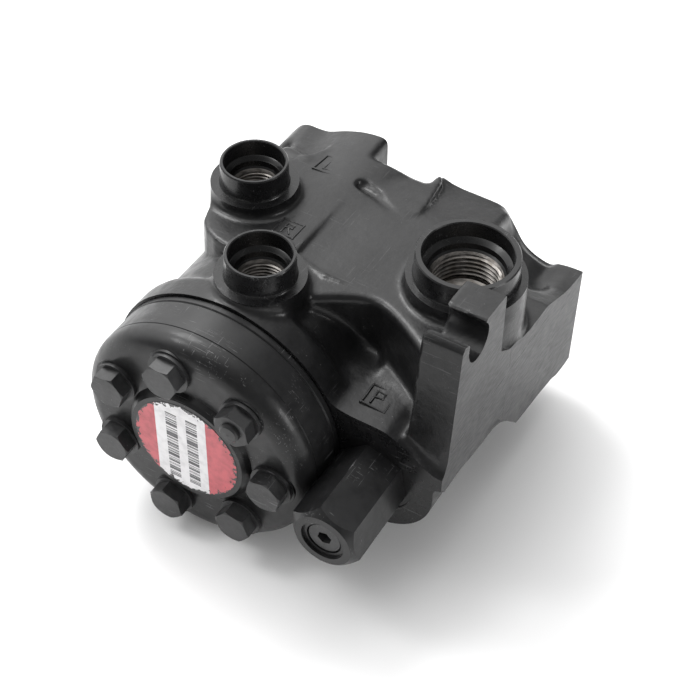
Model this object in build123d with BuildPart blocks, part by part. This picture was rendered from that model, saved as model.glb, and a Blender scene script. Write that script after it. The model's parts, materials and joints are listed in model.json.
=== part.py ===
"""Hydrostatic steering unit with a built-in priority valve, as a take-apart assembly.

Frame: millimetres, +Z up (the three ports open upward), the shaft axis is the Y axis.
The origin is the centre of the mounting face on the shaft axis: the input shaft leaves
towards +Y, and the gear set and its cover lie towards -Y.
"""

import os
from math import cos, hypot, pi, radians, sin

from build123d import *

os.makedirs("parts", exist_ok=True)

# ---------------------------------------------------------------- driving dimensions
# stack along the shaft axis, from the mounting face at y = 0
housing_length = 116.0
plate_thickness = 3.0
ring_width = 13.0
cover_thickness = 9.0
washer_thickness = 1.5
head_height = 5.5
stack_radius = 48.1
end_ring_radius = 49.2

housing_end = -housing_length
plate_end = housing_end - plate_thickness
ring_end = plate_end - ring_width
cover_end = ring_end - cover_thickness
washer_end = cover_end - washer_thickness
head_end = washer_end - head_height

# cover screws: seven M8 on a 70 mm circle, the topmost one a little left of the top
screw_count = 7
screw_circle = 35.0
screw_first_angle = 100.8
screw_step = 360.0 / screw_count
special_screw_angle = screw_first_angle - screw_step
screw_angles = [screw_first_angle - k * screw_step for k in range(screw_count)]
screw_clear_radius = 4.2
screw_shank_radius = 3.9
screw_tap_radius = 3.4
screw_core_radius = 3.38
screw_tap_depth = 24.0
screw_engagement = 20.0
head_flats = 13.0
head_turns = (0, 38, 16, 50, 40, 5, 10)
washer_radius = 8.4
pad_radius = washer_radius + 0.8

# gear set: seven fixed lobes, six rotor lobes, 100 cc a turn
lobe_circle = 32.0
lobe_radius = 7.5
eccentricity = 3.57
gear_clearance = 0.05
rotor_lobes = 6
ring_cavity_radius = 31.75
rotor_centre_y = plate_end - ring_width / 2
spline_teeth = 12
rotor_spline_tip = 9.6
rotor_spline_root = 11.2
rotor_gap_width = 3.1

# control spool and sleeve
bore_radius = 19.03
sleeve_radius = 19.0
sleeve_bore = 13.54
spool_radius = 13.5
spool_bore = 11.3
hub_radius = 12.0
hub_reach = 18.0
sleeve_front = -24.5
sleeve_back = housing_end + 0.1
spool_back = -112.0
hub_start = -26.0
bearing_shoulder = -20.0
pin_y = -70.0
pin_radius = 4.0
spool_pin_hole = 6.7
groove_radius = 22.0
groove_width = 7.0
seal_seat_radius = 16.5
seal_seat_front = -12.0
dust_seat_radius = 15.5
dust_seat_front = -8.0
seal_lip_radius = hub_radius + 0.06

# ports: centre x, centre y, collar radius, flange radius, mouth, seat and thread radii
port_rim = 61.0
flange_top = 51.5
left_port = dict(x=-25.9, y=-55.2, collar=13.1, flange=16.8, mouth=11.5, seat=9.9, core=8.2)
right_port = dict(x=3.6, y=-97.3, collar=13.1, flange=16.8, mouth=11.5, seat=9.9, core=8.2)
pressure_port = dict(x=66.4, y=-59.2, collar=19.2, flange=22.0, mouth=16.6, seat=14.6, core=12.4)

# priority valve, its axis parallel to the shaft axis
valve_x = 61.9
valve_z = -4.5
valve_boss_radius = 24.5
valve_bore = 9.0
cap_thread_radius = 12.5
cap_flats = 25.0
cap_length = 35.5
cap_thread_length = 16.0
spot_face_radius = 16.5
plug_bore = 11.0
plug_seat = -20.0

# outer shape of the casting
barrel_radius = 44.5
flat_face_x = 89.5
underside_z = -50.0
lug_top = 67.0
mount_hole_circle = 82.5
mount_hole_radius = 4.25
mount_hole_depth = 16.0
mount_offset = mount_hole_circle / 2 * cos(radians(45))


def at(y):
    """A sketch plane square to the shaft axis at y; its X is right and its Y is up."""
    return Plane.XZ.offset(-y)


def on_circle(radius, angle):
    """The (x, z) place at a radius and an angle measured from +X towards +Z."""
    return (radius * cos(radians(angle)), radius * sin(radians(angle)))


screw_places = [on_circle(screw_circle, a) for a in screw_angles]


def turned(outline, x=0.0, z=0.0):
    """A turned piece on an axis parallel to Y; the outline is a list of (radius, y)."""
    with BuildPart() as piece:
        with BuildSketch(Plane(origin=(x, 0, z), x_dir=(1, 0, 0), z_dir=(0, 0, 1))):
            with BuildLine():
                Polyline(*outline, close=True)
            make_face()
        revolve(axis=Axis((x, 0, z), (0, 1, 0)))
    return piece.part


def tube(outer, inner, front, back, x=0.0, z=0.0):
    """A plain turned tube between two y positions."""
    return turned([(inner, front), (outer, front), (outer, back), (inner, back)], x, z)


def o_ring(radius, thickness, y, x=0.0, z=0.0):
    """An O-ring of a given centre-line radius, lying square to the shaft axis."""
    with BuildPart() as ring:
        with BuildSketch(Plane(origin=(x, 0, z), x_dir=(1, 0, 0), z_dir=(0, 0, 1))):
            with Locations((radius, y)):
                Circle(thickness / 2)
        revolve(axis=Axis((x, 0, z), (0, 1, 0)))
    return ring.part


def write(part, name):
    part.label = name
    export_step(part, f"parts/{name}.step")


# ---------------------------------------------------------------- housing
mount_spots = [(mount_offset, mount_offset), (-mount_offset, mount_offset)]
mount_spots += [(mount_offset, -mount_offset), (-mount_offset, -mount_offset)]
flange_thickness = 15.0
lobe_boss_radius = 9.5
port_bosses = (left_port, right_port, pressure_port)
shaft_grooves = (-30.0, left_port["y"], -76.0, right_port["y"])
tank_port_y = -34.0
tank_port_z = -18.0
tank_face_x = -44.5
tank_boss_radius = 16.0
tank_core = 10.2
tank_depth = 16.0
excess_port_y = -34.0
excess_core = 8.2
excess_floor_z = -15.0
broken_drilling_y = -96.0
broken_drilling_z = 60.0
broken_drilling_radius = 7.5
slot_front = -103.5
gallery_circle = 27.5
gallery_radius = 2.2
check_circle = 25.5
check_x, check_z = on_circle(check_circle, special_screw_angle)
check_bore = 4.5
o_ring_groove_outer = 44.3
o_ring_groove_inner = 41.7
o_ring_groove_depth = 1.4


def flat_sided_block(outline, left, right):
    """A block with a (y, z) outline, between two x positions."""
    with BuildPart() as block:
        with BuildSketch(Plane.YZ.offset(left)):
            with BuildLine():
                Polyline(*outline, close=True)
            make_face()
        extrude(amount=right - left)
    return block.part


def end_on_block(outline, front, back):
    """A block with an (x, z) outline, between two y positions."""
    with BuildPart() as block:
        with BuildSketch(at(front)):
            with BuildLine():
                Polyline(*outline, close=True)
            make_face()
        extrude(amount=front - back)
    return block.part


def port_cutter(port, thread_floor):
    """The turned inside of a port: mouth, cone, seat step and thread core."""
    top = port_rim + 1
    steps = [
        (0, top),
        (port["mouth"], top),
        (port["mouth"], port_rim - 6.8),
        (port["seat"], port_rim - 8.2),
        (port["seat"], port_rim - 9.4),
        (port["core"], port_rim - 11.2),
        (port["core"], thread_floor),
        (0, thread_floor - port["core"] * 0.55),
    ]
    with BuildPart() as cutter:
        with BuildSketch(Plane(origin=(port["x"], port["y"], 0), x_dir=(1, 0, 0), z_dir=(0, -1, 0))):
            with BuildLine():
                Polyline(*steps, close=True)
            make_face()
        revolve(axis=Axis((port["x"], port["y"], 0), (0, 0, 1)))
    return cutter.part


def face_groove(front, back):
    """The turned groove that an O-ring of the gear set lies in."""
    return tube(o_ring_groove_outer, o_ring_groove_inner, front, back)


def drilling(start, end, radius):
    """A straight drilled passage between two points."""
    along = Vector(*end) - Vector(*start)
    with BuildPart() as hole:
        with BuildSketch(Plane(origin=start, z_dir=along.normalized())):
            Circle(radius)
        extrude(amount=along.length)
    return hole.part


deck = flat_sided_block([(0, 34), (-22, 42), (-84, 44), (-97, 22), (-97, -20), (0, -20)], 0, 60)
shoulder_outline = [(60, 44), (66, 34), (78, 28), (flat_face_x, 27), (flat_face_x, -10), (60, -10)]
shoulder = end_on_block(shoulder_outline, -70, -30)
tail_outline = [(50, 33), (57, 29), (64, 17), (78, 13), (flat_face_x, 14), (flat_face_x, -31), (40, -31)]
tail = end_on_block(tail_outline, -30, 0)
left_pad = flat_sided_block([(0, 38), (-20, 44), (-78, 47), (-86, 38), (-86, 0), (0, 0)], -38, 3)
skirt_outline = [(-76, 2), (-58, -16), (-50, -23.5), (-4, -31), (0, -31), (0, 20), (-76, 20)]
skirt = flat_sided_block(skirt_outline, 50, flat_face_x)
column_outline = [(-116, 3), (-108, 62), (-106, 66), (-94, lug_top), (-76, lug_top), (-60, 30), (-60, 3)]
column = flat_sided_block(column_outline, 72.5, flat_face_x)
web = end_on_block([(30, 24), (52, 21), (68, 20), (68, -22), (50, -27), (20, -34)], housing_end, -4)
foot = end_on_block([(-34, -20), (44, -20), (44, underside_z), (-34, underside_z)], housing_end, 0)

broken_slot_outline = [
    (slot_front, broken_drilling_z),
    (broken_drilling_y, broken_drilling_z),
    (broken_drilling_y, broken_drilling_z + 10),
    (slot_front, broken_drilling_z + 10),
]
dip_outline = [(0.5, 50), (0.5, 27), (12, 22.5), (20, 23), (25.5, 33), (26, 50)]
shaft_bore_outline = [
    (0, housing_end - 1),
    (bore_radius, housing_end - 1),
    (bore_radius, bearing_shoulder),
    (seal_seat_radius, bearing_shoulder),
    (seal_seat_radius, seal_seat_front),
    (spool_radius, seal_seat_front),
    (spool_radius, dust_seat_front),
    (dust_seat_radius, dust_seat_front),
    (dust_seat_radius, 1),
    (0, 1),
]
spot_face_depth = housing_end + 0.6
cap_thread_floor = housing_end + cap_thread_length + 1
valve_bore_outline = [
    (0, housing_end - 1),
    (spot_face_radius, housing_end - 1),
    (spot_face_radius, spot_face_depth),
    (cap_thread_radius, spot_face_depth),
    (cap_thread_radius, cap_thread_floor),
    (valve_bore, cap_thread_floor),
    (valve_bore, plug_seat),
    (plug_bore, plug_seat),
    (plug_bore, 1),
    (0, 1),
]
check_bore_outline = [
    (0, housing_end - 1),
    (check_bore, housing_end - 1),
    (check_bore, -100),
    (2.5, -98),
    (2.5, -90),
    (0, -90),
]
# drilled passages: start, end, radius
left_centre = (left_port["x"], left_port["y"])
right_centre = (right_port["x"], right_port["y"])
pressure_centre = (pressure_port["x"], pressure_port["y"])
tank_centre = (tank_port_y, tank_port_z)
tank_floor_x = tank_face_x + tank_depth
passages = [
    ((*left_centre, 36), (-10, left_port["y"], 14), 4.5),
    ((*right_centre, 38), (*right_centre, 15), 4.5),
    ((*pressure_centre, 36), (*pressure_centre, 0), 6),
    ((tank_face_x - 1, *tank_centre), (tank_floor_x, *tank_centre), tank_core),
    ((tank_floor_x - 1, *tank_centre), (-10, shaft_grooves[0], 0), 6),
    ((valve_x, excess_port_y, -40), (valve_x, excess_port_y, excess_floor_z), excess_core),
    ((valve_x, excess_port_y, excess_floor_z - 1), (valve_x, excess_port_y, valve_z), 5),
    ((valve_x, -62, valve_z), (18, shaft_grooves[2], 0), 4),
]

with BuildPart() as housing:
    with BuildSketch(at(housing_end)):
        Circle(barrel_radius)
    extrude(amount=-housing_length)
    with BuildSketch(at(housing_end)):
        Circle(end_ring_radius)
    extrude(amount=-14)
    chamfer(housing.edges().group_by(Axis.Y)[0], 0.8)
    with BuildSketch(at(-flange_thickness)):
        with Locations(*mount_spots):
            Circle(lobe_boss_radius)
        make_hull()
    extrude(amount=-flange_thickness)
    with BuildSketch(at(housing_end)):
        with Locations((valve_x, valve_z)):
            Circle(valve_boss_radius)
    extrude(amount=-housing_length + 4)
    add([deck, shoulder, tail, left_pad, skirt, column, web, foot])
    for port in port_bosses:
        with BuildSketch(Plane.XY):
            with Locations((port["x"], port["y"])):
                Circle(port["flange"])
        extrude(amount=flange_top)
        with BuildSketch(Plane.XY.offset(flange_top)):
            with Locations((port["x"], port["y"])):
                Circle(port["collar"])
        extrude(amount=port_rim - flange_top)

    # boss of the tank port, on the left side
    with BuildSketch(Plane.YZ.offset(tank_face_x)):
        with Locations((tank_port_y, tank_port_z)):
            Circle(tank_boss_radius)
    extrude(amount=25)

    # the broken-open cross drilling between lug and lip
    with BuildSketch(Plane.YZ.offset(72)):
        with Locations((broken_drilling_y, broken_drilling_z)):
            Circle(broken_drilling_radius)
    extrude(amount=20, mode=Mode.SUBTRACT)
    add(flat_sided_block(broken_slot_outline, 72, 90), mode=Mode.SUBTRACT)
    # rear face: dip between the two upper mounting lobes
    add(end_on_block(dip_outline, -12, 1), mode=Mode.SUBTRACT)

    # shaft bore, its grooves, and the seats of the seals at the mounting face
    add(turned(shaft_bore_outline), mode=Mode.SUBTRACT)
    for groove_y in shaft_grooves:
        groove = tube(groove_radius, 18, groove_y - groove_width / 2, groove_y + groove_width / 2)
        add(groove, mode=Mode.SUBTRACT)

    # priority valve bore with its threaded ends, and the spot face round the hexagon cap
    add(turned(valve_bore_outline, valve_x, valve_z), mode=Mode.SUBTRACT)

    # the three ports on top, the two low ones and the passages that join them to the bores
    for port, floor in ((left_port, 37), (right_port, 39.5), (pressure_port, 37)):
        add(port_cutter(port, floor), mode=Mode.SUBTRACT)
    for start, end, radius in passages:
        add(drilling(start, end, radius), mode=Mode.SUBTRACT)

    # tapped holes for the cover screws and the mounting bolts, oil galleries, check valve bore
    with BuildSketch(at(housing_end - 1)):
        with Locations(*screw_places):
            Circle(screw_tap_radius)
    extrude(amount=-screw_tap_depth - 1, mode=Mode.SUBTRACT)
    with BuildSketch(at(-mount_hole_depth)):
        with Locations(*mount_spots):
            Circle(mount_hole_radius)
    extrude(amount=-mount_hole_depth - 1, mode=Mode.SUBTRACT)
    with BuildSketch(at(housing_end - 1)):
        with Locations(*[on_circle(gallery_circle, a + screw_step / 2) for a in screw_angles]):
            Circle(gallery_radius)
    extrude(amount=-13, mode=Mode.SUBTRACT)
    add(turned(check_bore_outline, check_x, check_z), mode=Mode.SUBTRACT)
    add(face_groove(housing_end - 1, housing_end + o_ring_groove_depth), mode=Mode.SUBTRACT)
write(housing.part, "housing")

# ---------------------------------------------------------------- gear set and cover
with BuildPart() as distributor_plate:
    with BuildSketch(at(plate_end)):
        Circle(stack_radius)
        Circle(13, mode=Mode.SUBTRACT)
        with Locations(*screw_places):
            Circle(screw_clear_radius, mode=Mode.SUBTRACT)
        with Locations(*[on_circle(gallery_circle, a + screw_step / 2) for a in screw_angles]):
            Circle(gallery_radius, mode=Mode.SUBTRACT)
    extrude(amount=-plate_thickness)
    chamfer(distributor_plate.edges().group_by(SortBy.LENGTH)[-1], 0.5)
write(distributor_plate.part, "distributor_plate")

with BuildPart() as gear_ring:
    with BuildSketch(at(ring_end)):
        Circle(stack_radius)
        Circle(ring_cavity_radius, mode=Mode.SUBTRACT)
        with Locations(*[on_circle(lobe_circle, a) for a in screw_angles]):
            Circle(lobe_radius)
        with Locations(*screw_places):
            Circle(screw_clear_radius, mode=Mode.SUBTRACT)
    extrude(amount=-ring_width)
    add(face_groove(plate_end - o_ring_groove_depth, plate_end + 1), mode=Mode.SUBTRACT)
    add(face_groove(ring_end - 1, ring_end + o_ring_groove_depth), mode=Mode.SUBTRACT)
    chamfer(gear_ring.edges().group_by(SortBy.LENGTH)[-1], 0.5)
write(gear_ring.part, "gear_ring")

rotor_x, rotor_z = on_circle(eccentricity, screw_first_angle)


def rotor_outline_point(turn):
    """The rotor flank: the lobes' centre path in the rotor, moved in by a lobe radius."""
    path_x = lobe_circle * cos(turn) - eccentricity * cos((rotor_lobes + 1) * turn)
    path_z = lobe_circle * sin(turn) - eccentricity * sin((rotor_lobes + 1) * turn)
    slope_x = -lobe_circle * sin(turn) + (rotor_lobes + 1) * eccentricity * sin((rotor_lobes + 1) * turn)
    slope_z = lobe_circle * cos(turn) - (rotor_lobes + 1) * eccentricity * cos((rotor_lobes + 1) * turn)
    inset = (lobe_radius + gear_clearance) / hypot(slope_x, slope_z)
    return (path_x - slope_z * inset, path_z + slope_x * inset)


def around_rotor(x, z):
    """Turn a point of the rotor to its rest angle and move it to the rotor's centre."""
    angle = radians(screw_first_angle)
    return (rotor_x + x * cos(angle) - z * sin(angle), rotor_z + x * sin(angle) + z * cos(angle))


outline_steps = 24 * rotor_lobes


def even_turn(step):
    """Steps round the rotor, closer together in the hollows, where the flank turns quickly."""
    turn = 2 * pi * step / outline_steps
    return turn - 0.9 * sin(rotor_lobes * turn) / rotor_lobes


rotor_points = [around_rotor(*rotor_outline_point(even_turn(k))) for k in range(outline_steps)]
with BuildPart() as rotor:
    with BuildSketch(at(ring_end + 0.05)):
        with BuildLine():
            Spline(*rotor_points, periodic=True)
        make_face()
        with Locations((rotor_x, rotor_z)):
            Circle(rotor_spline_tip, mode=Mode.SUBTRACT)
            with PolarLocations(rotor_spline_root / 2, spline_teeth):
                Rectangle(rotor_spline_root, rotor_gap_width, mode=Mode.SUBTRACT)
    extrude(amount=-ring_width + 0.1)
write(rotor.part, "rotor")

spacer_outline = [(0, ring_end + 0.1), (8.5, ring_end + 0.1), (8.5, ring_end + 2.0), (0, ring_end + 2.0)]
write(turned(spacer_outline, rotor_x, rotor_z), "spacer")

boss_end = cover_end - 3.0
boss_radius = 24.0
shoulder_fillet = 7.8
cover_outline = [
    (0, ring_end),
    (stack_radius, ring_end),
    (stack_radius, cover_end),
    (26.4, cover_end),
    (25.2, boss_end + 1.2),
    (boss_radius, boss_end),
    (0, boss_end),
]
with BuildPart() as end_cover:
    add(turned(cover_outline))
    front_edges = end_cover.edges().filter_by(GeomType.CIRCLE).sort_by(Axis.Y)
    outer_edge = [edge for edge in front_edges if abs(edge.radius - stack_radius) < 0.01][0]
    fillet(outer_edge, shoulder_fillet)
    # a raised pad under each washer, faced square
    with BuildSketch(at(cover_end)):
        with Locations(*screw_places):
            Circle(pad_radius)
        Circle(stack_radius - 0.6, mode=Mode.INTERSECT)
    extrude(amount=-cover_thickness + 1)
    with BuildSketch(at(cover_end - 3)):
        with Locations(*screw_places):
            Circle(washer_radius + 0.3)
    extrude(amount=-3, mode=Mode.SUBTRACT)
    with BuildSketch(at(cover_end - 3)):
        with Locations(*screw_places):
            Circle(screw_clear_radius)
    extrude(amount=-cover_thickness - 4, mode=Mode.SUBTRACT)
write(end_cover.part, "end_cover")

label_radius = 22.0
label_face = boss_end - 0.15
label_outline = [(0, boss_end), (label_radius, boss_end), (label_radius, label_face), (0, label_face)]
write(turned(label_outline), "name_label")

with BuildPart() as cover_washers:
    with BuildSketch(at(washer_end)):
        with Locations(*screw_places):
            Circle(washer_radius)
            Circle(screw_clear_radius, mode=Mode.SUBTRACT)
    extrude(amount=-washer_thickness)
write(cover_washers.part, "cover_washers")


def screw(number):
    """A hexagon-head M8 screw; its thread in the housing is drawn at the core diameter."""
    x, z = screw_places[number]
    crown_outline = [
        (0, head_end - 1),
        (head_flats / 2 + 0.1, head_end - 1),
        (head_flats / 2 + 0.1, head_end),
        (head_flats / 2 + 3.1, head_end + 1.6),
        (head_flats / 2 + 3.1, washer_end + 1),
        (0, washer_end + 1),
    ]
    with BuildPart() as body:
        with BuildSketch(at(head_end)):
            with Locations((x, z)):
                RegularPolygon(head_flats / 2, 6, major_radius=False, rotation=head_turns[number])
        extrude(amount=-head_height)
        add(turned(crown_outline, x, z), mode=Mode.INTERSECT)
        with BuildSketch(at(washer_end)):
            with Locations((x, z)):
                Circle(screw_shank_radius)
        extrude(amount=washer_end - housing_end)
        with BuildSketch(at(housing_end)):
            with Locations((x, z)):
                Circle(screw_core_radius)
        extrude(amount=-screw_engagement)
    return body.part


special_screw_number = 1
plain_screws = [screw(k) for k in range(screw_count) if k != special_screw_number]
write(Compound(children=plain_screws), "cover_screws")

special_x, special_z = screw_places[special_screw_number]
button_outline = [
    (0, head_end + 0.5),
    (3.9, head_end + 0.5),
    (3.9, head_end - 1.0),
    (3.1, head_end - 1.6),
    (0, head_end - 1.7),
]
with BuildPart() as special_screw:
    add(screw(special_screw_number))
    add(turned(button_outline, special_x, special_z))
write(special_screw.part, "special_screw")

groove_ring_radius = 43.0
write(o_ring(groove_ring_radius, 1.35, housing_end + 0.7), "housing_o_ring")
write(o_ring(groove_ring_radius, 1.35, plate_end - 0.7), "plate_o_ring")
write(o_ring(groove_ring_radius, 1.35, ring_end + 0.7), "cover_o_ring")

# ---------------------------------------------------------------- spool, sleeve and drive
sleeve_hole_rows = (shaft_grooves[0], shaft_grooves[1], shaft_grooves[3])
spring_slot_y = -40.0
spring_width = 5.6
spring_half_length = 17.6
with BuildPart() as sleeve:
    add(tube(sleeve_radius, sleeve_bore, sleeve_back, sleeve_front))
    for row_y in sleeve_hole_rows:
        for k in range(6):
            across = on_circle(20, 30 + 60 * k)
            add(drilling((0, row_y, 0), (across[0], row_y, across[1]), 1.8), mode=Mode.SUBTRACT)
    add(drilling((-20, pin_y, 0), (20, pin_y, 0), pin_radius + 0.03), mode=Mode.SUBTRACT)
    with Locations((0, spring_slot_y, 0)):
        Box(40, spring_width + 0.4, 4.6, mode=Mode.SUBTRACT)
    add(tube(20, 18.2, spring_slot_y - 3.2, spring_slot_y + 3.2), mode=Mode.SUBTRACT)
write(sleeve.part, "sleeve")

hub_spline_teeth = 12
swing_half_angle = 11.0
slot_half_width = spring_width / 2 + 0.3
slot_reach = 15.0
slot_waist = 2.4
slot_rise = slot_reach * sin(radians(swing_half_angle)) + slot_waist
spool_outline = [
    (0, spool_back),
    (spool_radius, spool_back),
    (spool_radius, hub_start),
    (hub_radius, hub_start),
    (hub_radius, hub_reach - 1),
    (hub_radius - 1, hub_reach),
    (0, hub_reach),
]
spool_bore_outline = [(0, spool_back - 1), (spool_bore, spool_back - 1), (spool_bore, -58), (0, -52)]
with BuildPart() as spool:
    add(turned(spool_outline))
    add(turned(spool_bore_outline), mode=Mode.SUBTRACT)
    add(drilling((-20, pin_y, 0), (20, pin_y, 0), spool_pin_hole), mode=Mode.SUBTRACT)
    # bow-tie slot that lets the spool swing on the leaf springs
    for side in (1, -1):
        reach = slot_reach * side
        wing = [(0, slot_waist), (reach, slot_rise), (reach, -slot_rise), (0, -slot_waist)]
        slot = end_on_block(wing, spring_slot_y - slot_half_width, spring_slot_y + slot_half_width)
        add(slot, mode=Mode.SUBTRACT)
    # splined socket for the steering column
    with BuildSketch(at(-14)):
        Circle(8.2)
        with PolarLocations(9.1 / 2, hub_spline_teeth):
            Rectangle(9.1, 2.3)
    extrude(amount=-hub_reach - 15, mode=Mode.SUBTRACT)
write(spool.part, "spool")

write(drilling((-18.2, pin_y, 0), (18.2, pin_y, 0), pin_radius), "cross_pin")

with BuildPart() as flat_centring_springs:
    for lift in (0.42, -0.42):
        with Locations((0, spring_slot_y, lift)):
            Box(2 * spring_half_length, spring_width, 0.7)
write(Compound(children=list(flat_centring_springs.part.solids())), "flat_centring_springs")


def bowed_spring(side):
    """A leaf spring bowed away from the flat pair."""
    half_length = 16.5
    start = side * 0.9
    crown = start + side * 0.39
    with BuildPart() as leaf:
        with BuildSketch(at(spring_slot_y - spring_width / 2)):
            with BuildLine():
                inner_tip = start + side * 0.55
                outer_tip = crown + side * 0.16
                inner = ThreePointArc((-half_length, inner_tip), (0, start), (half_length, inner_tip))
                outer = ThreePointArc((half_length, outer_tip), (0, crown), (-half_length, outer_tip))
                Line(inner @ 1, outer @ 0)
                Line(outer @ 1, inner @ 0)
            make_face()
        extrude(amount=-spring_width)
    return leaf.part


write(Compound(children=[bowed_spring(side) for side in (1, -1)]), "curved_centring_springs")
write(tube(18.96, 18.25, spring_slot_y - 3.1, spring_slot_y + 3.1), "spring_stop_ring")

# cardan shaft, tilted from the cross pin to the rotor's centre
drive_run = Vector(rotor_x, rotor_centre_y - pin_y, rotor_z)
drive_length = drive_run.length
drive_plane = Plane(origin=(0, pin_y, 0), x_dir=(1, 0, 0), z_dir=drive_run.normalized())
fork_radius = 9.9
cardan_outline = [
    (0, 8),
    (6, 8),
    (fork_radius, 4),
    (fork_radius, -6),
    (7.4, -10.5),
    (7.0, -16),
    (7.0, -drive_length + 14),
    (8.6, -drive_length + 8),
    (9.0, -drive_length + 6),
    (9.0, -drive_length - 3.0),
    (8.2, -drive_length - 3.6),
    (0, -drive_length - 3.6),
]
with BuildPart() as cardan_shaft:
    with BuildSketch(Plane(origin=drive_plane.origin, x_dir=drive_plane.x_dir, z_dir=drive_plane.y_dir)):
        with BuildLine():
            Polyline(*cardan_outline, close=True)
        make_face()
    revolve(axis=Axis(drive_plane.origin, drive_plane.z_dir))
    with BuildSketch(drive_plane.offset(drive_length - 5)):
        with PolarLocations(10.6 / 2, spline_teeth, start_angle=0):
            Rectangle(10.6, 2.0)
    extrude(amount=8.2)
    with BuildSketch(drive_plane.offset(-12)):
        Rectangle(30, 8.7)
    extrude(amount=12 + 5.2, mode=Mode.SUBTRACT)
write(cardan_shaft.part, "cardan_shaft")

# ---------------------------------------------------------------- check valve, bearing, seals
ball_radius = 4.2
ball_y = -104.4
with BuildPart() as check_ball:
    with Locations((check_x, ball_y, check_z)):
        Sphere(ball_radius)
write(check_ball.part, "check_ball")
write(tube(check_bore - 0.04, 2.0, housing_end + 0.3, -110.5, check_x, check_z), "check_bushing")

write(tube(18.95, 14.0, bearing_shoulder - 1.2, bearing_shoulder - 0.02), "bearing_outer_race")
needle_count = 24
needle_radius = 0.95
needle_y = bearing_shoulder - 2.25
with BuildPart() as bearing_cage:
    add(tube(18.8, 14.2, needle_y - 0.6, needle_y + 0.6))
    for k in range(needle_count):
        inner = on_circle(14.9, 360 / needle_count * k)
        outer = on_circle(18.3, 360 / needle_count * k)
        add(drilling((inner[0], needle_y, inner[1]), (outer[0], needle_y, outer[1]), needle_radius + 0.08),
            mode=Mode.SUBTRACT)
write(bearing_cage.part, "bearing_cage")
needles = []
for k in range(needle_count):
    inner = on_circle(15.0, 360 / needle_count * k)
    outer = on_circle(18.2, 360 / needle_count * k)
    needles.append(drilling((inner[0], needle_y, inner[1]), (outer[0], needle_y, outer[1]), needle_radius))
write(Compound(children=needles), "bearing_needles")
write(tube(18.95, 14.0, sleeve_front + 0.02, sleeve_front + 1.25), "bearing_inner_race")
shaft_seal_outline = [
    (seal_lip_radius, -19.5),
    (seal_seat_radius, -19.5),
    (seal_seat_radius, seal_seat_front),
    (hub_radius + 0.9, seal_seat_front),
    (hub_radius + 0.9, -17),
    (seal_lip_radius, -18),
]
write(turned(shaft_seal_outline), "shaft_seal")
dust_seal_outline = [
    (seal_lip_radius, -2.5),
    (hub_radius + 0.8, -7.9),
    (dust_seat_radius, -7.9),
    (dust_seat_radius, -0.6),
    (13.2, -0.2),
    (seal_lip_radius, -0.2),
]
write(turned(dust_seal_outline), "dust_seal")

# ---------------------------------------------------------------- priority valve
cap_face = housing_end - cap_length
cap_inner_end = housing_end + cap_thread_length
relief_bore = 6.0
adjuster_radius = 6.9
cap_end_radius = 11.4
cap_chamfer_length = 3.4
cap_corner_radius = 14.9
counterbore_radius = 8.6
counterbore_floor = cap_face + 1.2
adjuster_bore = adjuster_radius + 0.05
adjuster_bore_end = cap_face + 16
cap_thread_fit = cap_thread_radius - 0.04
cap_o_ring_y = housing_end + 2.2
cap_turn = -20.4
cap_crown_outline = [
    (0, cap_face - 1),
    (cap_end_radius, cap_face - 1),
    (cap_end_radius, cap_face),
    (cap_corner_radius, cap_face + cap_chamfer_length),
    (cap_corner_radius, housing_end + 9),
    (0, housing_end + 9),
]
cap_thread_outline = [
    (0, housing_end - 1),
    (cap_thread_fit, housing_end - 1),
    (cap_thread_fit, cap_inner_end),
    (0, cap_inner_end),
]
cap_bore_outline = [
    (0, cap_face - 1),
    (counterbore_radius, cap_face - 1),
    (counterbore_radius, counterbore_floor),
    (adjuster_bore, counterbore_floor),
    (adjuster_bore, adjuster_bore_end),
    (relief_bore, adjuster_bore_end),
    (relief_bore, cap_inner_end + 1),
    (0, cap_inner_end + 1),
]
with BuildPart() as hex_cap:
    with BuildSketch(at(cap_face)):
        with Locations((valve_x, valve_z)):
            RegularPolygon(cap_flats / 2, 6, major_radius=False, rotation=cap_turn)
    extrude(amount=-cap_length - 0.6)
    add(turned(cap_crown_outline, valve_x, valve_z), mode=Mode.INTERSECT)
    add(turned(cap_thread_outline, valve_x, valve_z))
    add(turned(cap_bore_outline, valve_x, valve_z), mode=Mode.SUBTRACT)
    cap_groove = tube(13.5, 11.2, cap_o_ring_y - 0.95, cap_o_ring_y + 0.95, valve_x, valve_z)
    add(cap_groove, mode=Mode.SUBTRACT)
write(hex_cap.part, "priority_hex_cap")
write(o_ring(11.85, 1.25, cap_o_ring_y, valve_x, valve_z), "hex_cap_o_ring")

adjuster_front = cap_face + 1.6
adjuster_back = adjuster_front + 9
adjuster_outline = [
    (0, adjuster_front),
    (adjuster_radius - 0.6, adjuster_front),
    (adjuster_radius, adjuster_front + 0.6),
    (adjuster_radius, adjuster_front + 4.8),
    (5.6, adjuster_front + 4.8),
    (5.6, adjuster_front + 6.8),
    (adjuster_radius, adjuster_front + 6.8),
    (adjuster_radius, adjuster_back),
    (0, adjuster_back),
]
with BuildPart() as adjusting_screw:
    add(turned(adjuster_outline, valve_x, valve_z))
    with BuildSketch(at(adjuster_front - 1)):
        with Locations((valve_x, valve_z)):
            RegularPolygon(2.5, 6, major_radius=False, rotation=15)
    extrude(amount=-5.5, mode=Mode.SUBTRACT)
write(adjusting_screw.part, "adjusting_screw")
write(o_ring(6.25, 1.15, adjuster_front + 5.8, valve_x, valve_z), "adjuster_o_ring")


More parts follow.
